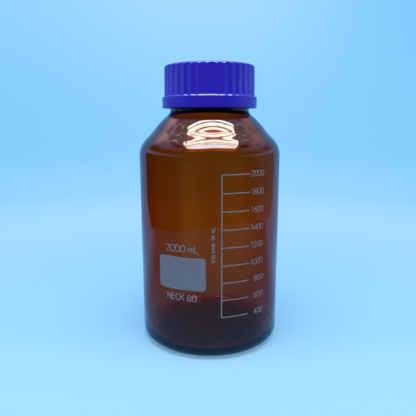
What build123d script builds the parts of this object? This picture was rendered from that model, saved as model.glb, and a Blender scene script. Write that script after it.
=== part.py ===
from build123d import *
from math import cos, degrees, atan, pi, radians, sin, tan
import os

# Round wide-mouth laboratory bottle of 2000 mL: blown amber glass with a fluted plastic screw cap,
# a drip-free pouring ring on its lip and a soft sealing disc in the cap.
# Millimetres, +Z up. The origin is the centre of the ring that the bottle stands on.
# The front faces -Y. Azimuths are in degrees, from -Y towards +X.

# ---- glass body -------------------------------------------------------------------------------
body_radius = 67.0
wall = 3.5
heel_radius = 10.1            # outer rounding between side wall and base
inner_heel_bevel = 7.0
standing_ring_width = 3.4     # flat glass ring that touches the bench
push_up_height = 5.5          # hollow under the base, at the axis
push_up_flat_radius = 20.0
base_thickness = 6.1
floor_fall = 4.6              # how much lower the floor is at the inner heel than at the axis
shoulder_height = 186.2       # where side wall and shoulder would meet, unrounded
shoulder_radius = 18.0
shoulder_slope = 39.8         # degrees from vertical
upper_slope = 46.5            # degrees from vertical, close to the neck
upper_slope_width = 11.2      # how far the flatter part of the shoulder reaches out from the neck

# ---- neck and lip -----------------------------------------------------------------------------
neck_radius = 37.3
neck_wall = 5.0
neck_root_radius = 6.0        # hollow rounding between shoulder and neck
neck_length = 36.9            # from the unrounded neck root to the rim
lip_step = 1.3                # the lip above the threaded zone is this much narrower
lip_length = 9.6
lip_hook_drop = 4.6           # rim to the undercut that the pouring ring snaps under
lip_hook_depth = 0.6
rim_bevel = 0.8

# ---- pouring ring, snapped over the lip -------------------------------------------------------
ring_clearance = 0.15
ring_wall = 1.6               # skirt, outside the lip
ring_roof = 1.2               # washer that lies on the rim
ring_skirt_length = 7.6
spout_wall = 1.3              # short collar inside the mouth
spout_clearance = 0.3
spout_length = 5.0

# ---- sealing disc -----------------------------------------------------------------------------
liner_thickness = 2.0
liner_clearance = 0.4

# ---- screw cap --------------------------------------------------------------------------------
cap_height = 38.8
cap_roof = 2.5
thread_room = 2.5             # between neck and cap wall, where the two threads engage
cap_wall = 2.65               # over the ridges, at the collar
cap_mouth_bevel = 0.6
cap_draft = 0.45              # how much narrower the ridges are at the top edge
cap_edge = 2.8                # size of the rounded top edge, which is turned in two bevels
cap_dish_border = 9.4         # top edge to the shallow round recess in the top
cap_dish_depth = 0.5
collar_height = 10.3
collar_step = 1.95            # how far the collar stands out of the ridges
collar_bevel = 0.6
flute_count = 36
flute_depth = 0.85
ridge_width = 1.0
ridge_azimuth = 7.5
liner_bead = 0.8              # inner bead that keeps the sealing disc in the cap
liner_bead_gap = 0.3

# ---- levels that follow from the sizes above --------------------------------------------------
break_radius = neck_radius + upper_slope_width
break_level = shoulder_height + (body_radius - break_radius) / tan(radians(shoulder_slope))
neck_level = break_level + upper_slope_width / tan(radians(upper_slope))
rim_level = neck_level + neck_length
lip_level = rim_level - lip_length
hook_level = rim_level - lip_hook_drop
ring_top = rim_level + ring_roof
liner_top = ring_top + liner_thickness
cap_top = liner_top + cap_roof
cap_bottom = cap_top - cap_height
collar_top = cap_bottom + collar_height
inner_radius = body_radius - wall
bore_radius = neck_radius - neck_wall
lip_radius = neck_radius - lip_step
cap_inner_radius = neck_radius + thread_room
cap_radius = cap_inner_radius + cap_wall
collar_radius = cap_radius + collar_step
floor_level = push_up_height + base_thickness
heel_level = floor_level - floor_fall
margin = 1.0                  # how far a cutter or a hidden overlap reaches past a face


def turned(*corners):
    """Solid turned about Z from a closed outline of corners (radius, height, rounding)."""
    points = [(radius, height) for radius, height, _ in corners]
    roundings = [rounding for _, _, rounding in corners]
    outline = FilletPolyline(*points, radius=roundings, close=True)
    return revolve(Plane.XZ * make_face(outline), Axis.Z)


def outer_corners():
    """Corners of the glass from the axis under the base, up the outside, to the rim."""
    return [
        (0, push_up_height, 0),
        (push_up_flat_radius, push_up_height, 0),
        (body_radius - heel_radius - standing_ring_width, 0, 0),
        (body_radius, 0, heel_radius),
        (body_radius, shoulder_height, shoulder_radius),
        (break_radius, break_level, 0),
        (neck_radius, neck_level, neck_root_radius),
        (neck_radius, lip_level, 0),
        (lip_radius - lip_hook_depth, lip_level + lip_step + lip_hook_depth, 0),
        (lip_radius - lip_hook_depth, hook_level, 0),
        (lip_radius, hook_level, 0),
        (lip_radius, rim_level - rim_bevel, 0),
        (lip_radius - rim_bevel, rim_level, 0),
    ]


def inner_corners():
    """Corners of the glass from the axis on the floor, up the inside, to the rim.

    The inner wall runs beside the outer one at one wall's distance. A bevel stands for each
    inner rounding, and its ends are where a rounding concentric with the outer one would end.
    """
    slope, top_slope = radians(shoulder_slope), radians(upper_slope)
    half_break = (top_slope - slope) / 2
    shoulder_corner = shoulder_height - wall * tan(slope / 2)
    shoulder_run = (shoulder_radius - wall) * tan(slope / 2)
    break_inset = wall / cos(half_break)
    inner_break_radius = break_radius - break_inset * cos(slope + half_break)
    inner_break_level = break_level - break_inset * sin(slope + half_break)
    bore_level = inner_break_level + (inner_break_radius - bore_radius) / tan(top_slope)
    root_run = (neck_root_radius + wall) * tan(top_slope / 2)
    return [
        (0, floor_level, 0),
        (push_up_flat_radius, floor_level, 0),
        (inner_radius - inner_heel_bevel, heel_level, 0),
        (inner_radius, heel_level + inner_heel_bevel, 0),
        (inner_radius, shoulder_corner - shoulder_run, 0),
        (inner_radius - shoulder_run * sin(slope), shoulder_corner + shoulder_run * cos(slope), 0),
        (inner_break_radius, inner_break_level, 0),
        (bore_radius + root_run * sin(top_slope), bore_level - root_run * cos(top_slope), 0),
        (bore_radius, bore_level + root_run, 0),
        (bore_radius, rim_level - rim_bevel, 0),
        (bore_radius + rim_bevel, rim_level, 0),
    ]


def bottle():
    """The blown bottle: one wall from the standing ring to the rim, turned in one piece."""
    return turned(*outer_corners(), *reversed(inner_corners()))


def pouring_ring():
    """Plastic ring on the lip: washer on the rim, skirt that hooks under the lip, collar in the mouth."""
    skirt_inner = lip_radius + ring_clearance
    skirt_outer = lip_radius + ring_wall
    skirt_bottom = rim_level - ring_skirt_length
    hook_top = hook_level - ring_clearance
    hook_radius = skirt_inner - lip_hook_depth
    spout_outer = bore_radius - spout_clearance
    spout_inner = spout_outer - spout_wall
    return turned(
        (skirt_inner, rim_level, 0),
        (skirt_inner, hook_top, 0),
        (hook_radius, hook_top, 0),
        (hook_radius, skirt_bottom, 0),
        (skirt_outer, skirt_bottom, 0),
        (skirt_outer, ring_top, 0),
        (spout_inner, ring_top, 0),
        (spout_inner, rim_level - spout_length, 0),
        (spout_outer, rim_level - spout_length, 0),
        (spout_outer, rim_level, 0),
    )


def cap_liner():
    """Soft sealing disc that lies on the pouring ring, under the roof of the cap."""
    radius = cap_inner_radius - liner_clearance
    middle = ring_top + liner_thickness / 2
    return Pos(0, 0, middle) * Cylinder(radius, liner_thickness)


def flutes():
    """Round cutters, one for each finger flute, leaning with the draft of the cap's wall."""
    ridge_top_radius = cap_radius - cap_draft
    lean = degrees(atan(cap_draft / (cap_top - collar_top)))
    half_width = pi * cap_radius / flute_count - ridge_width / 2
    cutter_radius = (half_width ** 2 + flute_depth ** 2) / (2 * flute_depth)
    middle_radius = (cap_radius + ridge_top_radius) / 2 - flute_depth + cutter_radius
    middle_level = (collar_top + cap_top) / 2
    cutter = Cylinder(cutter_radius, 2 * (cap_top - collar_top))
    leaning = Pos(0, -middle_radius, middle_level) * Rot(-lean, 0, 0) * cutter
    pitch = 360 / flute_count
    return [Rot(0, 0, ridge_azimuth + (i + 0.5) * pitch) * leaning for i in range(flute_count)]


def screw_cap():
    """Moulded cap: fluted barrel with a rounded top edge, plain collar below, hollow inside."""
    dish_level = cap_top - cap_dish_depth
    edge_step = cap_edge * (1 - cos(pi / 4))
    top_radius = cap_radius - cap_draft
    dish_radius = top_radius - cap_dish_border
    barrel = turned(
        (0, collar_top - margin, 0),
        (cap_radius, collar_top - margin, 0),
        (cap_radius, collar_top, 0),
        (top_radius, cap_top - cap_edge, 0),
        (top_radius - edge_step, cap_top - edge_step, 0),
        (top_radius - cap_edge, cap_top, 0),
        (dish_radius + cap_dish_depth, cap_top, 0),
        (dish_radius, dish_level, 0),
        (0, dish_level, 0),
    )
    collar = turned(
        (0, cap_bottom, 0),
        (collar_radius, cap_bottom, 0),
        (collar_radius, collar_top - collar_bevel, 0),
        (collar_radius - collar_bevel, collar_top, 0),
        (0, collar_top, 0),
    )
    bead_radius = cap_inner_radius - liner_bead
    bead_top = ring_top - liner_bead_gap
    hollow = turned(
        (0, cap_bottom - margin, 0),
        (cap_inner_radius + cap_mouth_bevel + margin, cap_bottom - margin, 0),
        (cap_inner_radius, cap_bottom + cap_mouth_bevel, 0),
        (cap_inner_radius, bead_top - 2 * liner_bead, 0),
        (bead_radius, bead_top - liner_bead, 0),
        (bead_radius, bead_top - liner_bead / 2, 0),
        (cap_inner_radius, bead_top, 0),
        (cap_inner_radius, liner_top, 0),
        (0, liner_top, 0),
    )
    return barrel - flutes() + collar - hollow


nodes = {
    "bottle": bottle,
    "pouring_ring": pouring_ring,
    "cap_liner": cap_liner,
    "screw_cap": screw_cap,
}

os.makedirs("parts", exist_ok=True)
for name, make in nodes.items():
    export_step(Part() + make(), f"parts/{name}.step")
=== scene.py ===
import math

import bpy
import numpy as np
from mathutils import Matrix


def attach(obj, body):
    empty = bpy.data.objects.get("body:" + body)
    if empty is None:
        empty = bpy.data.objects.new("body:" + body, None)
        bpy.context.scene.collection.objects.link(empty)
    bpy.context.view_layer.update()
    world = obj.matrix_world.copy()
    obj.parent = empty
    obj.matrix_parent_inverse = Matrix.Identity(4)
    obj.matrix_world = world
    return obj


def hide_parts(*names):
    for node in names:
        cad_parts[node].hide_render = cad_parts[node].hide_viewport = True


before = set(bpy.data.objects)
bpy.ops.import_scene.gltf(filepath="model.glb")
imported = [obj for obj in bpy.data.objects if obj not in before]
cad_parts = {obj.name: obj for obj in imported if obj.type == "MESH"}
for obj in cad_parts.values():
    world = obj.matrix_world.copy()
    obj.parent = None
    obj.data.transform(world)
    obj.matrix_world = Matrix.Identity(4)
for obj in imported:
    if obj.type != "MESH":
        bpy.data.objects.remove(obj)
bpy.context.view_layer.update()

# ---- Camera ------------------------------------------------------------------------------------
# A standard lens a little above the middle of the shoulder, less than half a metre from the glass.
camera_place = (-0.00162, -0.44301, 0.21314)
camera_pitch = 0.19278        # looking down, in radians
camera_roll = -0.0016
camera_lens = 39.49           # in millimetres, as its sensor is
camera_sensor = 36
camera_reach = (0.01, 20)     # from the nearest to the furthest that it sees, in metres

camera = bpy.data.objects.new("camera", bpy.data.cameras.new("camera"))
camera.data.lens = camera_lens
camera.data.sensor_width = camera_sensor
camera.data.clip_start, camera.data.clip_end = camera_reach
camera.matrix_world = (
    Matrix.Translation(camera_place)
    @ Matrix.Rotation(math.pi / 2 - camera_pitch, 4, "X")
    @ Matrix.Rotation(camera_roll, 4, "Z")
)
bpy.context.scene.collection.objects.link(camera)
bpy.context.scene.camera = camera
bpy.context.scene.view_settings.view_transform = "Standard"


# ---- Paper sweep -------------------------------------------------------------------------------
# Seamless pale blue paper: flat under the bottle, then curved up on every side into a wall.
# It is lit from above where the bottle stands, and glows with an even strength further out, in a blue that
# painted light and shade make paler or deeper.
paper_flat = 0.95             # radius of the flat floor; all lengths of the paper are in metres
paper_curve = 0.6
paper_top = 2.4
paper_rings = (0, 0.1, 0.3, 0.6)      # radii of its points on the flat floor
paper_bends = 25                      # rings of points up the curve
paper_columns = 96

paper_colour = (0.37, 0.67, 0.96)     # where the lamp lights it
paper_light = (0.395, 0.728, 0.991)   # glow of its palest part, and of its deepest, which is painted shade
paper_painted_shade = (0.227, 0.611, 0.991)
# The deeper and paler blues are painted shade and light: the paper itself is one colour all over.
# Shares of the deeper blue, and the spans over which each sets in: far out,
deep_far, far_span = 0.45, (0.55, 1.02)
# just behind the bottle, and no further out than that,
deep_behind, behind_span, near_span = 0.5, (-0.08, 0.0), (0.10, 0.42)
# off the floor, and out to either side,
deep_climb, climb_span = 0.30, (0.0, 0.10)
deep_side, side_span = 0.22, (0.10, 0.85)
# and high up on the left and right, less a share high up all over
deep_upper_left, deep_upper_right, pale_upper = 0.38, 0.93, 0.80
upper_span = (0.15, 0.90)

# Painted reflection: the glass mirrors the paper in the colours and strengths below, not as the camera sees
# it.
# What the glass mirrors of it is bluer, by this share near the bottle and this much more further out
mirrored_colour = (0.14, 0.49, 1.0)
mirrored_near, mirrored_more = 0.9, 0.1
mirrored_span = (0.12, 0.45)
# and it glows this strongly behind the bottle, and this much less further out,
shine_behind, shine_loss, shine_span = 1.30, 0.34, (0.20, 0.60)
# while in front its strength is a length over the distance, up to a limit
shine_front, shine_limit, front_span = 0.105, 1.1, (-0.15, 0.0)
# High on the wall behind, the mirrored paper is pale, and stronger on the left
mirrored_top = (1.15, 0.85, 0.95)
top_start, top_end, top_back_span = (0.9, 1.5), (1.7, 2.1), (-0.6, -0.1)
top_shine, top_left_span = 0.9, (0.3, 0.9)
# The light that it throws on other things: its strength in front, and what it gains towards the back
ambient_front, ambient_gain, ambient_span = 0.2, 0.5, (-0.8, 0.8)
# Where the bottle stands, this share of it is lit colour and not glow; the rest is painted light, which makes
# the bottle's shadow fainter
lit_share, lit_span = 0.6, (0.15, 0.60)
# The ceiling shows above the paper's open top
sky_colour = (0.52, 0.90, 1.25)
sky_strength = 0.8


class Signal:
    """A node's output. Sums, differences and products of it add Math nodes to the same finish."""

    def __init__(self, finish, output):
        self.finish = finish
        self.output = output

    def math(self, operation, first, second):
        """The output of a new Math node on those two."""
        return self.finish.out(self.finish.add("Math", {"operation": operation}, _0=first, _1=second))

    def __add__(self, other):
        return self.math("ADD", self, other)

    __radd__ = __add__

    def __mul__(self, other):
        return self.math("MULTIPLY", self, other)

    __rmul__ = __mul__

    def __sub__(self, other):
        return self.math("SUBTRACT", self, other)

    def __rsub__(self, other):
        return self.math("SUBTRACT", other, self)

    def __rtruediv__(self, other):
        return self.math("DIVIDE", other, self)

    def least(self, other):
        """The lesser of the two."""
        return self.math("MINIMUM", self, other)

    def rise(self, start, end):
        """0 up to start, 1 from end on, and a smooth step between them."""
        return self.finish.out(self.finish.add(
            "MapRange", {"interpolation_type": "SMOOTHSTEP"}, Value=self, From_Min=start, From_Max=end))


class Finish:
    """A material, or the world, as a tree of nodes that starts out with its output alone."""

    def __init__(self, name, world=False):
        data = bpy.data.worlds if world else bpy.data.materials
        self.data = data.new(name)
        self.data.use_nodes = True
        self.tree = self.data.node_tree
        self.tree.nodes.clear()
        self.end = self.tree.nodes.new("ShaderNodeOutputWorld" if world else "ShaderNodeOutputMaterial")

    def add(self, kind, settings=None, **sockets):
        """Adds a node: its settings first, then the values or links of its sockets.

        A socket goes by its name, with _ for each space, or by its number after a _.
        """
        node = self.tree.nodes.new("ShaderNode" + kind)
        for name, value in (settings or {}).items():
            setattr(node, name, value)
        for name, value in sockets.items():
            socket = node.inputs[int(name[1:]) if name[1:].isdigit() else name.replace("_", " ")]
            if isinstance(value, Signal):
                self.tree.links.new(value.output, socket)
            else:
                socket.default_value = value
        return node

    def out(self, node, socket=0):
        """One output of a node, by its name or number."""
        return Signal(self, node.outputs[socket])

    def place(self):
        """The spot on the piece, then its X, Y and Z by themselves."""
        spot = self.out(self.add("TexCoord"), "Object")
        parts = self.add("SeparateXYZ", Vector=spot)
        return spot, *(self.out(parts, axis) for axis in "XYZ")

    def mix(self, share, first, second):
        """The colour that lies at that share of the way from the first to the second."""
        return self.out(self.add("Mix", {"data_type": "RGBA"}, _0=share, _6=first, _7=second), 2)

    def finish(self, surface, volume=None):
        """Links the shaders to the output, and gives the finished material or world."""
        self.tree.links.new(surface.outputs[0], self.end.inputs["Surface"])
        if volume:
            self.tree.links.new(volume.outputs[0], self.end.inputs["Volume"])
        return self.data


def new_piece(name, points, faces):
    """A mesh of those points and faces, in the scene."""
    mesh = bpy.data.meshes.new(name)
    mesh.from_pydata(np.asarray(points).tolist(), [], faces)
    piece = bpy.data.objects.new(name, mesh)
    bpy.context.scene.collection.objects.link(piece)
    return piece


def turned_mesh(name, rows):
    """Mesh from a grid of points (rows, columns, 3) whose columns run once round the Z axis.

    Row i, column j joins row i + 1 and column j + 1, counter-clockwise as seen from outside when the
    rows climb. A first or last row on the axis is one vertex, with triangles round it.
    """
    count, columns = rows.shape[:2]
    radius = np.hypot(rows[:, 0, 0], rows[:, 0, 1])
    start = 1 if radius[0] < 1e-9 else 0
    stop = count - 1 if radius[-1] < 1e-9 else count
    points = rows[start:stop].reshape(-1, 3)
    index = np.arange((stop - start) * columns).reshape(stop - start, columns)
    below, above = index[:-1], index[1:]
    quads = np.stack([below, np.roll(below, -1, 1), np.roll(above, -1, 1), above], -1).reshape(-1, 4)
    faces = quads.tolist()
    if start:
        points = np.vstack([points, rows[0, :1]])
        tip = np.full(columns, len(points) - 1)
        faces += np.stack([tip, np.roll(index[0], -1), index[0]], -1).tolist()
    if stop < count:
        points = np.vstack([points, rows[-1, :1]])
        tip = np.full(columns, len(points) - 1)
        faces += np.stack([index[-1], np.roll(index[-1], -1), tip], -1).tolist()
    piece = new_piece(name, points, faces)
    piece.data.shade_smooth()
    return piece


def spun(radii, heights, angles):
    """Grid of points at those radii and heights, one row each, turned to each of those angles."""
    return np.stack([
        radii * np.cos(angles), radii * np.sin(angles),
        np.broadcast_to(heights, np.broadcast_shapes(np.shape(radii), np.shape(angles)))], -1)


bend = np.linspace(0, math.pi / 2, paper_bends)
sweep_radius = np.concatenate([
    paper_rings, paper_flat + paper_curve * np.sin(bend), [paper_flat + paper_curve]])
sweep_height = np.concatenate([0 * np.array(paper_rings), paper_curve * (1 - np.cos(bend)), [paper_top]])
turn = np.linspace(0, 2 * math.pi, paper_columns, endpoint=False)
sweep = turned_mesh("paper_sweep", spun(sweep_radius[:, None], sweep_height[:, None], turn)[::-1])

paper = Finish("pale_blue_paper")
spot, across, back, level = paper.place()
distance = paper.out(paper.add("VectorMath", {"operation": "LENGTH"}, _0=spot), "Value")

# How deep its blue is: painted shade, where less light would fall on the paper
left, right = (0 - across).rise(*side_span), across.rise(*side_span)
upper = level.rise(*upper_span)
beside = back.rise(*behind_span) * (1 - distance.rise(*near_span))
depth = deep_far * distance.rise(*far_span) + deep_behind * beside + deep_climb * level.rise(*climb_span)
depth = depth + deep_side * (left + right)
depth = depth + upper * (deep_upper_left * left + deep_upper_right * right - pale_upper)

# Which ray meets it: one from the camera, also through glass, one that glass mirrors, or any other
rays = paper.add("LightPath")
through = paper.out(rays, "Is Transmission Ray")
mirrored = paper.out(rays, "Is Glossy Ray") * (1 - through)
seen = 1 - (1 - paper.out(rays, "Is Camera Ray")) * (1 - through)

# How strongly it glows for that ray, and in what colour; for rays that glass mirrors, this is painted
# reflection
front = (0 - back).rise(*front_span)
shine = (1 - front) * (shine_behind - shine_loss * distance.rise(*shine_span))
shine = shine + front * (shine_front / distance).least(shine_limit)
top = level.rise(*top_start) * (1 - level.rise(*top_end)) * back.rise(*top_back_span)
shine = shine + top_shine * top * (0 - across).rise(*top_left_span)
ambient = ambient_front + ambient_gain * back.rise(*ambient_span)
strength = seen + (1 - seen) * (mirrored * shine + (1 - mirrored) * ambient)
bluish = mirrored * (mirrored_near + mirrored_more * distance.rise(*mirrored_span))
hue = paper.mix(depth, (*paper_light, 1), (*paper_painted_shade, 1))
hue = paper.mix(bluish, hue, (*mirrored_colour, 1))
hue = paper.mix(mirrored * top, hue, (*mirrored_top, 1))
glow = paper.add("VectorMath", {"operation": "SCALE"}, _0=hue, Scale=strength)

# Near the bottle part of the paper glows instead of being lit: painted light, which makes the bottle's shadow
# fainter.
glowing = 1 - lit_share * (1 - distance.rise(*lit_span)) * (1 - mirrored)
lit_paper = paper.add("BsdfDiffuse", Color=(*paper_colour, 1))
own_light = paper.add("Emission", Color=paper.out(glow), Strength=1.0)
sweep.data.materials.append(paper.finish(paper.add(
    "MixShader", Fac=glowing, _1=paper.out(lit_paper), _2=paper.out(own_light))))

sky = Finish("studio_ceiling", world=True)
bpy.context.scene.world = sky.finish(sky.add("Background", Color=(*sky_colour, 1), Strength=sky_strength))


# ---- Dark card, painted shade --------------------------------------------------------------------
# A small disc of dark blue card on the paper, inside the ring that the bottle stands on: painted shade,
# for the shadow under the bottle. It keeps bright paper from showing through the base.
shade_disc_radius = 0.053
shade_disc_height = 0.0002
shade_disc_colour = (0.012, 0.05, 0.12)

shade_disc = turned_mesh("painted_shade_disc", spun(np.array([[shade_disc_radius], [0.0]]), shade_disc_height, turn))
shade_disc_finish = Finish("painted_shade_disc")
shade_disc.data.materials.append(shade_disc_finish.finish(shade_disc_finish.add("BsdfDiffuse", Color=(*shade_disc_colour, 1))))


# ---- Softbox -----------------------------------------------------------------------------------
# A wide lamp hangs over the front of the bottle, behind four bands of white cloth that narrow ribs
# part. The lamp lights the scene, and only reflections show the cloth, as glass is lit in a studio.
softbox_centre = (0.0, -0.33, 1.20)
softbox_size = (1.18, 0.76)
softbox_watts = 15.0
cloth_bands = (               # rear and front edge of each
    (0.008, -0.065), (-0.095, -0.215), (-0.245, -0.310), (-0.340, -0.747))
cloth_tones = ((1.09, 1.14, 1.05),) * 3 + ((0.86, 1.04, 1.13),)
cloth_left = (-0.550, 0.220)  # where its left and right edges are on the pivot's line, and their slant
cloth_right = (0.586, -0.269)
cloth_pivot = (0.08, -0.091)  # the ribs lean about its first figure, the edges slant about its second
cloth_lean = 0.108
cloth_glare = 18.0

softbox = bpy.data.objects.new("softbox", bpy.data.lights.new("softbox", "AREA"))
softbox.data.shape = "RECTANGLE"
softbox.data.size, softbox.data.size_y = softbox_size
softbox.data.energy = softbox_watts
softbox.location = softbox_centre
softbox.visible_glossy = softbox.visible_transmission = softbox.visible_camera = False
bpy.context.scene.collection.objects.link(softbox)


def seen_in_gloss_only(piece, finish, transmission):
    """Lets a stage piece show in reflections alone, and through glass if transmission says so."""
    piece.data.materials.append(finish)
    piece.visible_camera = piece.visible_diffuse = piece.visible_shadow = False
    piece.visible_volume_scatter = False
    piece.visible_transmission = transmission


def glowing_finish(name, colour, strength):
    """Material that does nothing but glow, with that colour times that strength."""
    finish = Finish(name)
    return finish.finish(finish.add("Emission", Color=(*colour, 1), Strength=strength))


for number, ((rear, front), tone) in enumerate(zip(cloth_bands, cloth_tones)):
    corners = []
    for edge, (side, slant) in (
            (rear, cloth_left), (rear, cloth_right), (front, cloth_right), (front, cloth_left)):
        x = side + slant * (edge - cloth_pivot[1])
        corners.append((x, edge + cloth_lean * (x - cloth_pivot[0]), softbox_centre[2]))
    cloth = new_piece(f"softbox_front_{number}", corners, [(0, 1, 2, 3)])
    seen_in_gloss_only(cloth, glowing_finish(cloth.name, tone, cloth_glare), True)


# ---- Strip lamps -------------------------------------------------------------------------------
# Two narrow lamps, bent into hooks, stand high at the sides. Only reflections show them.
# Their places are directions, in degrees, from a point on the bottle's axis, at one metre.
strip_lamp = ((-90, 56.5), (-98, 57.2), (-106, 56), (-110, 52.5), (-109.5, 48.5), (-108.5, 45.5))
strip_lamp_middle = (-98, 50)     # of its bend
strip_lamp_inner = 0.93           # its inner edge is this share as far from the middle of its bend
strip_lamp_eye = 0.2              # height of the point that directions are taken from, in metres
strip_lamp_copies = ((1, 0, 0), (-1, 2.5, 1.5))   # as it is or mirrored, then turned and lowered by
strip_lamp_colour = (1.0, 0.9, 0.85)
strip_lamp_glare = 7.0

hook = np.array(strip_lamp)
hooks = np.stack([hook, strip_lamp_middle + strip_lamp_inner * (hook - strip_lamp_middle)])
for number, (way, turned_by, lowered_by) in enumerate(strip_lamp_copies):
    bearings, climbs = np.radians(way * hooks[..., 0] + turned_by), np.radians(hooks[..., 1] - lowered_by)
    rails = np.stack([
        np.sin(bearings) * np.cos(climbs), -np.cos(bearings) * np.cos(climbs),
        strip_lamp_eye + np.sin(climbs)], -1)
    lamp = new_piece(f"strip_lamp_{number}", rails.reshape(-1, 3), [
        (k, k + 1, k + 1 + len(hook), k + len(hook)) for k in range(len(hook) - 1)])
    seen_in_gloss_only(lamp, glowing_finish(lamp.name, strip_lamp_colour, strip_lamp_glare), False)


# ---- Curtain -----------------------------------------------------------------------------------
# Dark cloth on a curved rail behind the camera, glowing in painted colours. Only reflections show it, and
# things seen through the glass, so its glow is painted reflection. It is paler towards its right end, and
# painted daylight glows on the upper part of both sides, which the cap and the glass show as a painted sheen.
curtain_centre = 0.048        # of its rail's bend, right of the bottle; all lengths are in metres
curtain_radius = 0.567
curtain_height = 0.72
curtain_ends = (-116, 124)    # all bearings are in degrees from the front towards the right
curtain_columns = 49
curtain_hem = 0.004           # height over which it begins
end_fade = 4                  # bearing over which it ends
foot_cut = 9                  # bearing by which it is cut back at its foot, and the height of that cut
foot_cut_height = 0.06
dark_cloth = (0.008, 0.010, 0.012)
pale_painted_glow = (0.16, 0.24, 0.22)
pale_glow_span = (60, 85)
painted_side_glow = (0.56, 0.66, 1.15)
painted_side_span = (0.6, 1.5)    # bearing to either side, here in radians
painted_side_band = ((0.238, 0.262), (0.31, 0.36))   # heights over which a band of it begins and ends
painted_side_above = (0.44, 0.56)

spread = np.radians(np.linspace(*curtain_ends, curtain_columns))
hang = np.array([[0.0], [curtain_height]])
cloth_rows = np.stack([
    np.broadcast_to(curtain_centre + curtain_radius * np.sin(spread), (2, curtain_columns)),
    np.broadcast_to(-curtain_radius * np.cos(spread), (2, curtain_columns)),
    np.broadcast_to(hang, (2, curtain_columns))], -1)
index = np.arange(2 * curtain_columns).reshape(2, curtain_columns)
curtain = new_piece("curtain", cloth_rows.reshape(-1, 3), np.stack(
    [index[0, :-1], index[0, 1:], index[1, 1:], index[1, :-1]], -1).tolist())

black = Finish("curtain")
across, back, level = black.place()[1:]
right = across - curtain_centre
bearing = right.math("ARCTAN2", right, 0 - back)
cut = math.radians(foot_cut) * (1 - level.rise(0.0, foot_cut_height))
left_end, right_end = (
    (cut + way).rise(math.radians(end - end_fade), math.radians(end))
    for way, end in ((0 - bearing, -curtain_ends[0]), (bearing, curtain_ends[1])))
hanging = level.rise(0.0, curtain_hem) * (1 - left_end) * (1 - right_end)
# Painted daylight on both sides, in a band and above it, and a paler painted glow towards the right end
sides = 1 - (1 - bearing.rise(*painted_side_span)) * (1 - (0 - bearing).rise(*painted_side_span))
band = level.rise(*painted_side_band[0]) * (1 - level.rise(*painted_side_band[1]))
curtain_painted_glow = black.mix(bearing.rise(*map(math.radians, pale_glow_span)), (*dark_cloth, 1), (*pale_painted_glow, 1))
curtain_painted_glow = black.mix(sides * (band + level.rise(*painted_side_above)), curtain_painted_glow, (*painted_side_glow, 1))
cloth_light = black.add("Emission", Color=curtain_painted_glow, Strength=1.0)
see_through = black.add("BsdfTransparent")
seen_in_gloss_only(curtain, black.finish(black.add(
    "MixShader", Fac=hanging, _1=black.out(see_through), _2=black.out(cloth_light))), True)


# ---- Glass bottle ------------------------------------------------------------------------------
# One piece of borosilicate glass, blown in a mould and coloured amber right through its wall.
# The base is pushed up inside a flat standing ring; the neck carries a turn and a half of thread.
MM = 0.001
wall = 3.5
body_radius = 67.0
heel_radius = 10.1
ring_width = 3.4
push_up = (20.0, 5.5)         # radius and height of the flat middle of the pushed-up base
floor_level = 11.6
floor_fall = 4.6
shoulder_level = 186.2
shoulder_radius = 18.0
shoulder_slope = math.radians(39.8)
upper_slope = math.radians(46.5)
neck_radius = 37.3
break_radius = neck_radius + 11.2
break_level = shoulder_level + (body_radius - break_radius) / math.tan(shoulder_slope)
neck_level = break_level + (break_radius - neck_radius) / math.tan(upper_slope)
rim_level = neck_level + 36.9
lip_radius = 36.0
bore_radius = 32.3
thread_pitch = 5.0
thread_turns = 1.5
neck_thread_start = 230.0     # height where the rib begins, on the right of the neck, at +X
neck_thread_height = 1.9
neck_thread_half_width = 1.0
rib_fade = 0.12               # share of a turn over which a thread's rib fades in and out
rib_fullness = 1.6            # how far its section is widened towards a flat top
glass_segments = 240
coarse_step, shoulder_step, lip_step, inner_step = 8, 1.0, 2.5, 4   # between points of straight runs
neck_thread_rows = 48
shoulder_waves = (            # slow waves of the shoulder: size, length, radius of their middle, reach
    (0.62, 17.58, 57.96, 7.0), (0.30, 13.81, 41.62, 3.92))
shoulder_waves_from = 180     # height that they stay above
ripple = 0.05                 # unevenness of the inner wall, as a sum of waves round it
ripple_waves = (              # each wave's share, count round the wall, phase and twist as it climbs
    (1.0, 3, 0.4, 0.3), (0.8, 5, 2.1, -0.4), (0.6, 9, 1.2, 0.3), (0.35, 17, 0.3, 0.1))
ripple_climb = 60             # height in which a wave gains its twist
ripple_radius = 30            # the ripple dies out inside this radius
cords = (                     # upright streaks in the wall: azimuth and half width in degrees, thinning
    (-32, 8, -0.25), (-20.5, 2.4, 0.2), (-15.7, 7, 0.5), (2, 6, -0.25), (24, 11, 0.55))
cord_levels = (60, 190)       # where they fade in and out, and over what heights
cord_fades = (50, 15)
glass_index = 1.47
glass_tint = (0.845, 0.52, 0.055)     # colour that its thickness leaves of white light
glass_density = 900.0                 # how fast it does so, per metre of glass


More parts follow.
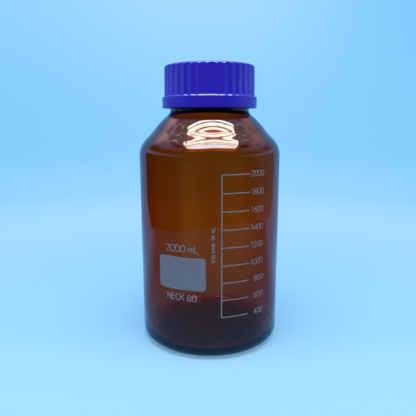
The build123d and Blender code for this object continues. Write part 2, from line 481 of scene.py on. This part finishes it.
def rounded(corners, step):
    """Points (radius, height) along an outline given as corners (radius, height, rounding).

    Each rounding is an arc tangent to both runs: it starts r * tan(turn / 2) before the corner and
    is sampled every four degrees. Straight runs get a point every step.
    """
    ends = []
    for here, (x, z, r) in enumerate(corners):
        point = np.array((x, z), float)
        if r == 0 or here in (0, len(corners) - 1):
            ends.append([point])
            continue
        before = np.array(corners[here - 1][:2], float) - point
        after = np.array(corners[here + 1][:2], float) - point
        before /= np.linalg.norm(before)
        after /= np.linalg.norm(after)
        bent = math.pi - math.acos(np.clip(before @ after, -1, 1))
        reach = r * math.tan(bent / 2)
        middle = point + (before + after) / np.linalg.norm(before + after) * r / math.cos(bent / 2)
        first, last = point + before * reach - middle, point + after * reach - middle
        share = np.linspace(0, 1, max(4, int(bent * 180 / math.pi / 4) + 1))[:, None]
        arc = (np.sin((1 - share) * bent) * first + np.sin(share * bent) * last) / math.sin(bent)
        ends.append(list(middle + arc))
    line = [ends[0][0]]
    for corner in ends:
        gap = corner[0] - line[-1]
        pieces = max(1, int(np.linalg.norm(gap) / step))
        if np.linalg.norm(gap) > 1e-6:
            line += [line[-1] + gap * k / pieces for k in range(1, pieces + 1)]
        line += corner[1:]
    return np.array(line)


def helix_rib(angle, height, start, length, half_width, depth):
    """Radial height of a helical rib at each (angle, height) of a wall.

    The rib's middle climbs by one pitch per turn from start, for length turns. Its section is a raised
    cosine with a flat top, and it fades in and out at its ends.
    """
    total = np.zeros(np.broadcast(angle, height).shape)
    for lap in range(int(length) + 1):
        along = angle / (2 * math.pi) + lap
        off = (height - start - thread_pitch * along) / (2 * half_width)
        fade = np.clip(np.minimum(along, length - along) / rib_fade, 0, 1)
        section = np.where(np.abs(off) < 1, 0.5 + 0.5 * np.cos(math.pi * off), 0)
        section = np.minimum(1, rib_fullness * section)
        total = np.maximum(total, depth * section * fade * fade * (3 - 2 * fade))
    return total


outer = np.vstack([rounded([
    (0, push_up[1], 0), (push_up[0], push_up[1], 30), (body_radius - heel_radius - ring_width, 0, 1.0),
    (body_radius, 0, heel_radius), (body_radius, shoulder_level - 12, 0)], coarse_step), rounded([
        (body_radius, shoulder_level - 11, 0), (body_radius, shoulder_level, shoulder_radius),
        (break_radius, break_level, 120), (neck_radius, neck_level, 6.0),
        (neck_radius, neck_level + 6, 0)], shoulder_step)])
inset = wall / math.cos((upper_slope - shoulder_slope) / 2)
lean = (upper_slope + shoulder_slope) / 2
inner_break = (break_radius - inset * math.cos(lean), break_level - inset * math.sin(lean))
inner = rounded([
    (0, floor_level, 0), (push_up[0], floor_level, 30), (body_radius - wall, floor_level - floor_fall, 7.6),
    (body_radius - wall, shoulder_level - wall * math.tan(shoulder_slope / 2), shoulder_radius - wall),
    (*inner_break, 100),
    (bore_radius, inner_break[1] + (inner_break[0] - bore_radius) / math.tan(upper_slope), 9.5),
    (bore_radius, rim_level, 0.9), (bore_radius + 1.2, rim_level, 0)], inner_step)
threaded = np.stack([
    np.full(neck_thread_rows, neck_radius),
    np.linspace(neck_level + 6.3, rim_level - 9.7, neck_thread_rows)], -1)
lip = rounded([
    (neck_radius, rim_level - 9.6, 0), (lip_radius - 0.6, rim_level - 7.7, 0.5),
    (lip_radius - 0.6, rim_level - 4.6, 0.4), (lip_radius, rim_level - 4.6, 0.25),
    (lip_radius, rim_level, 0.9), (lip_radius - 1.2, rim_level, 0)], lip_step)
outline = np.vstack([outer, threaded, lip, inner[::-1]])
run = np.repeat(np.arange(4), [len(outer), len(threaded), len(lip), len(inner)])[:, None]
radius, height = outline[:, :1], outline[:, 1:]
around = np.linspace(0, 2 * math.pi, glass_segments, endpoint=False)
angle = np.broadcast_to(around, (len(outline), glass_segments))

turned_radius = radius + (run == 1) * helix_rib(
    angle, height, neck_thread_start, thread_turns, neck_thread_half_width, neck_thread_height)
on_shoulder = (run == 0) * (height > shoulder_waves_from)
for size, length, middle, reach in shoulder_waves:
    off = radius - middle
    turned_radius = turned_radius + on_shoulder * size * np.exp(-(off / reach) ** 2) * np.sin(
        2 * math.pi * off / length)
waves = sum(
    share * np.cos(count * angle + phase + twist * height / ripple_climb)
    for share, count, phase, twist in ripple_waves)
turned_radius = turned_radius + (run == 3) * ripple * waves * np.clip(radius / ripple_radius, 0, 1)
window = np.clip((height - cord_levels[0]) / cord_fades[0], 0, 1)
window = window * np.clip((cord_levels[1] - height) / cord_fades[1], 0, 1)
for azimuth, half_width, thinning in cords:
    off = (angle - math.radians(azimuth - 90) + math.pi) % (2 * math.pi) - math.pi
    turned_radius = turned_radius + (run == 3) * thinning * window * np.exp(
        -(off / math.radians(half_width)) ** 2)
glass_bottle = turned_mesh("glass_bottle", spun(turned_radius, height, around) * MM)

amber = Finish("amber_glass")
clear = amber.add("BsdfPrincipled", Base_Color=(1, 1, 1, 1), Roughness=0.0, IOR=glass_index,
                  Transmission_Weight=1.0)
tint = amber.add("VolumeAbsorption", Color=(*glass_tint, 1), Density=glass_density)
glass_bottle.data.materials.append(amber.finish(clear, tint))
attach(glass_bottle, "glass")
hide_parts("bottle")


# ---- Fired white print -------------------------------------------------------------------------
# A graduation, a capacity, a writing panel and plain words, screened on in white enamel and fired.
# It stands a few hundredths of a millimetre proud. Azimuths are from the front towards the right.
enamel_proud = 0.06
enamel_sunk = 0.02
line_width = 1.1
tick_width = 0.9
stroke_width = 0.78
scale_azimuth = 8.65
tick_end = 30.55
first_tick = 41.11            # height of the 400 mL line
tick_step = 15.784            # height of 200 mL
tick_labels = range(400, 2001, 200)
panel_azimuths = (-42.0, -3.1)
panel_levels = (65.4, 95.3)
panel_corner = 3.5
letter_gap = 1.05             # in units of the letters below
number_height = 5.4
number_azimuth = 31.6         # of four digits, and of three
short_number_azimuth = 36.0
number_drop = 2.5             # from a line to the feet of its number
line_colour = (0.33, 0.29, 0.31)      # thin white enamel looks grey on dark glass
panel_colour = (0.30, 0.265, 0.31)
glyphs = {                    # strokes on a grid: (x, y), or an arc (x, y, half width, half height, from, to)
    "0": (4, [[(2, 4, 2, 2, 0, 180), (2, 2, 2, 2, 180, 360), (4, 4)]]),
    "1": (4, [[(1.0, 4.9), (2.5, 6), (2.5, 0)]]),
    "2": (4, [[(2, 4.2, 1.9, 1.8, 170, -35), (0.1, 0), (4, 0)]]),
    "4": (4, [[(3.1, 0), (3.1, 6)], [(3.1, 6), (0, 1.7), (4.2, 1.7)]]),
    "6": (4, [[(2, 1.9, 1.95, 1.9, 180, -180)], [(0.05, 1.9), (4.0, 1.9, 3.95, 4.1, 175, 108)]]),
    "8": (4, [[(2, 4.5, 1.65, 1.5, -90, 270)], [(2, 1.5, 2.0, 1.5, 90, 450)]]),
    "C": (3.9, [[(2.2, 3, 2.2, 3, 50, 310)]]),
    "E": (3.4, [[(3.4, 6), (0, 6), (0, 0), (3.4, 0)], [(0, 3.1), (3, 3.1)]]),
    "I": (0, [[(0, 6), (0, 0)]]),
    "K": (4, [[(0, 6), (0, 0)], [(3.8, 6), (0, 2.2)], [(1.4, 3.6), (4, 0)]]),
    "L": (3.4, [[(0, 6), (0, 0), (3.4, 0)]]),
    "M": (4.6, [[(0, 0), (0, 6)], [(0, 6), (2.3, 1.5), (4.6, 6)], [(4.6, 6), (4.6, 0)]]),
    "N": (4, [[(0, 0), (0, 6)], [(0, 6), (4, 0)], [(4, 0), (4, 6)]]),
    "O": (4.6, [[(2.3, 3, 2.3, 3, 0, 360)]]),
    "U": (4, [[(0, 6), (2, 2, 2, 2, 180, 360), (4, 6)]]),
    "V": (4.2, [[(0, 6), (2.1, 0)], [(2.1, 0), (4.2, 6)]]),
    "m": (4.6, [[(0, 4), (0, 0)], [(1.15, 2.85, 1.15, 1.15, 180, 0), (2.3, 0)],
                [(3.45, 2.85, 1.15, 1.15, 180, 0), (4.6, 0)]]),
    " ": (1.2, []),
}


def inked(azimuth, level, width):
    """Vertices and faces of a band of enamel on the side wall, along a run of points.

    Across the run its section is a small rectangle, proud of the wall and sunk a little into it.
    Corners are mitred. A run that ends where it starts is closed.
    """
    run = np.stack([np.radians(azimuth) * body_radius, np.broadcast_to(level, np.shape(azimuth))], -1)
    closed = np.allclose(run[0], run[-1])
    run = run[:-1] if closed else run
    width = np.broadcast_to(width, len(run))[:, None]
    ahead = np.roll(run, -1, 0) - run
    behind = run - np.roll(run, 1, 0)
    if not closed:
        ahead[-1], behind[0] = behind[-1], ahead[0]
    ahead /= np.linalg.norm(ahead, axis=1)[:, None]
    behind /= np.linalg.norm(behind, axis=1)[:, None]
    mitre = ahead + behind
    mitre /= np.maximum((mitre * ahead).sum(1)[:, None], 0.5)
    side = np.stack([-mitre[:, 1], mitre[:, 0]], -1) * width / 2
    rails = np.stack([run - side, run + side, run + side, run - side])
    radius = np.array([enamel_proud, enamel_proud, -enamel_sunk, -enamel_sunk])[:, None] + body_radius
    turned = rails[..., 0] / body_radius
    points = np.stack([radius * np.sin(turned), -radius * np.cos(turned), rails[..., 1]], -1) * MM
    index = np.arange(4 * len(run)).reshape(4, -1)
    caps = [] if closed else [index[:, 0].tolist(), index[::-1, -1].tolist()]
    if closed:
        index = np.hstack([index, index[:, :1]])
    beyond = np.roll(index, -1, 0)
    sides = np.stack([index[:, :-1], index[:, 1:], beyond[:, 1:], beyond[:, :-1]], -1)
    return points.reshape(-1, 3), sides.reshape(-1, 4).tolist() + caps


def written(words, height, azimuth, level, gap=letter_gap, upright=False, stroke=stroke_width):
    """Bands of enamel for a line of words: each stroke's points, as the table of letters gives them.

    The line starts at that azimuth and stands on that level. An upright one climbs from that level
    instead, with the feet of its letters at that azimuth.
    """
    unit = (height - stroke) / 6
    bands, pen = [], stroke / 2 / unit
    for letter in words:
        advance, strokes = glyphs[letter]
        for steps in strokes:
            run = []
            for step in steps:
                if len(step) == 2:
                    run.append(step)
                    continue
                x, y, wide, high, first, last = step
                arc = np.radians(np.linspace(first, last, max(4, int(abs(last - first) / 18)) + 1))
                run += list(zip(x + wide * np.cos(arc), y + high * np.sin(arc)))
            run = np.array(run, float)
            run = run[np.append(True, np.linalg.norm(np.diff(run, axis=0), axis=1) > 1e-6)]
            across, up = (run[:, 0] + pen) * unit, run[:, 1] * unit + stroke / 2
            if upright:
                across, up = -up, across
            bands.append(inked(azimuth + np.degrees(across / body_radius), level + up, stroke))
        pen += advance + gap
    return bands


def enamelled(name, bands, colour):
    """One piece of the print, from the points and faces of all its bands."""
    points, faces, total = [], [], 0
    for corners, band_faces in bands:
        points.append(corners)
        faces += [[v + total for v in face] for face in band_faces]
        total += len(corners)
    piece = new_piece(name, np.vstack(points), faces)
    enamel = Finish(name)
    piece.data.materials.append(enamel.finish(enamel.add(
        "BsdfPrincipled", Base_Color=(*colour, 1), Roughness=0.4, IOR=1.5)))
    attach(piece, "glass")


tick_levels = [first_tick + tick_step * order for order in range(len(tick_labels))]
enamelled("graduation_lines", [
    inked(np.full(2, scale_azimuth), (tick_levels[0] - tick_width / 2, tick_levels[-1] + tick_width / 2),
          line_width)
] + [
    inked(np.linspace(scale_azimuth + 0.3, tick_end, 12), level, tick_width) for level in tick_levels
], line_colour)
enamelled("graduation_numbers", [
    band for label, level in zip(tick_labels, tick_levels)
    for band in written(str(label), number_height, number_azimuth if label >= 1000 else short_number_azimuth,
                        level - number_drop, gap=0.9, stroke=0.6)
], line_colour)

# The panel is one broad stroke, lower where its corners are round
corner_run = panel_corner * (1 - np.cos(np.linspace(0, math.pi / 2, 9)))
panel_run = np.radians(panel_azimuths[1] - panel_azimuths[0]) * body_radius
along = np.concatenate([
    corner_run, np.linspace(panel_corner, panel_run - panel_corner, 30)[1:-1], panel_run - corner_run[::-1]])
run_in = np.clip(1 - np.minimum(along, panel_run - along) / panel_corner, 0, 1)
lower = 2 * panel_corner * (1 - np.sqrt(1 - run_in ** 2)) * 0.999    # just short of no height at its ends
enamelled("writing_panel", [inked(
    panel_azimuths[0] + np.degrees(along / body_radius), sum(panel_levels) / 2,
    panel_levels[1] - panel_levels[0] - lower)], panel_colour)
enamelled("plain_words", (
    written("2000 mL", 6.7, -35.4, 99.6) + written("NECK 80", 6.3, -34.8, 55.2)
    + written("VOLUME IN mL", 3.7, 4.0, 91.0, gap=2.1, upright=True, stroke=0.62)), line_colour)


# ---- Pouring ring ------------------------------------------------------------------------------
# A plastic ring snapped over the lip, so that the last drop runs back in. Its shape is the solid's.
ring_colour = (0.03, 0.025, 0.36)


def plain_finish(name, colour, roughness, ior):
    """Material of one colour, roughness and index all over."""
    finish = Finish(name)
    return finish.finish(finish.add(
        "BsdfPrincipled", Base_Color=(*colour, 1), Roughness=roughness, IOR=ior))


for material_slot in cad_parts["pouring_ring"].material_slots:
    material_slot.material = plain_finish("ring_plastic", ring_colour, 0.42, 1.49)


# ---- Sealing disc ------------------------------------------------------------------------------
# A disc of pale silicone, held under the roof of the cap by a small bead. Its shape is the solid's.
disc_colour = (0.62, 0.60, 0.56)

for material_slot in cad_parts["cap_liner"].material_slots:
    material_slot.material = plain_finish("liner_rubber", disc_colour, 0.6, 1.42)


# ---- Screw cap ---------------------------------------------------------------------------------
# A moulded polypropylene cap, deep blue-violet: 36 finger flutes that run out into the rounded top
# edge, a plain collar below, a thread inside and a small bead that keeps the sealing disc in.
cap_bottom = 222.833
cap_top = 261.633
cap_ridge = 42.45             # radius over the ridges at the collar
cap_draft = 0.45
cap_edge = 2.8
collar_radius = 44.4
collar_top = 233.133
cap_inner = 39.8
bead_depth = 0.8
liner_top = 259.133
ring_top = 257.133
dish_depth = 0.5              # of the shallow dish in its top
flute_count = 36
flute_depth = 0.85
flute_half = math.pi * cap_ridge / flute_count - 0.5
flute_columns = 10            # columns of points to a flute
flute_blend = 0.06            # rounds the line where a flute runs out into the top edge
first_ridge = -90 + 7.5       # degrees, from +X
cap_thread_drop = 2.35        # its rib lies this far below the neck's
cap_thread_height = 1.6
cap_thread_half_width = 1.0
cap_thread_rows = 58
cap_thread_levels = (225.0, 250.2)    # of the lowest and the highest of them
cap_thread_margin = 0.3
inside_step, outside_step = 2.5, 1.6  # between points of straight runs
cap_colour = (0.043, 0.022, 0.65)

# A flute is an arc across, and its radius comes from its half width and its depth
flute_radius = (flute_half ** 2 + flute_depth ** 2) / (2 * flute_depth)
column = np.arange(flute_count * flute_columns)
cap_angle = math.radians(first_ridge) + column * 2 * math.pi / len(column)
across_flute = ((column % flute_columns) / flute_columns - 0.5) * 2 * math.pi * cap_ridge / flute_count
hollowed = np.sqrt(np.maximum(flute_radius ** 2 - across_flute ** 2, 0)) - (flute_radius - flute_depth)
hollowed = np.maximum(hollowed, 0)

inside = rounded([
    (0, liner_top, 0), (cap_inner, liner_top, 0.4), (cap_inner, ring_top - 0.3, 0),
    (cap_inner - bead_depth, ring_top - 0.7, 0.2), (cap_inner - bead_depth, ring_top - 1.1, 0.2),
    (cap_inner, ring_top - 1.9, 0), (cap_inner, cap_thread_levels[1] + cap_thread_margin, 0)], inside_step)
thread_rows = np.stack([
    np.full(cap_thread_rows, cap_inner), np.linspace(*cap_thread_levels[::-1], cap_thread_rows)], -1)
skirt = rounded([
    (cap_inner, cap_thread_levels[0] - cap_thread_margin, 0), (cap_inner, cap_bottom, 0.7),
    (collar_radius, cap_bottom, 0.6),
    (collar_radius, collar_top, 0.4), (cap_ridge + 0.3, collar_top, 0)], outside_step)
barrel = rounded([
    (cap_ridge, collar_top, 0), (cap_ridge - cap_draft, cap_top, cap_edge),
    (cap_ridge - cap_draft - 9, cap_top, 0)], outside_step)
crown = rounded([
    (cap_ridge - cap_draft - 9.4, cap_top, 0), (cap_ridge - cap_draft - 10.0, cap_top - dish_depth, 0.3),
    (0, cap_top - dish_depth, 0)], inside_step)
cap_outline = np.vstack([inside, thread_rows, skirt, barrel, crown])
run = np.repeat(np.arange(5), [len(inside), len(thread_rows), len(skirt), len(barrel), len(crown)])[:, None]
cap_radius, cap_height = cap_outline[:, :1], cap_outline[:, 1:]
turned = np.broadcast_to(cap_angle % (2 * math.pi), (len(cap_outline), len(column)))
plain = cap_radius - (run == 1) * helix_rib(
    turned, cap_height, neck_thread_start - cap_thread_drop, thread_turns, cap_thread_half_width,
    cap_thread_height)

# The barrel has the lesser of its plain and its fluted radius, with a soft passage between the two
fluted = cap_ridge - cap_draft * (cap_height - collar_top) / (cap_top - collar_top) - hollowed
lesser = (plain + fluted - np.sqrt((plain - fluted) ** 2 + flute_blend ** 2)) / 2
fluted_cap = turned_mesh("fluted_cap", spun(np.where(run == 3, lesser, plain), cap_height, cap_angle) * MM)

fluted_cap.data.materials.append(plain_finish("cap_plastic", cap_colour, 0.26, 1.55))
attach(fluted_cap, "cap")
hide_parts("screw_cap")
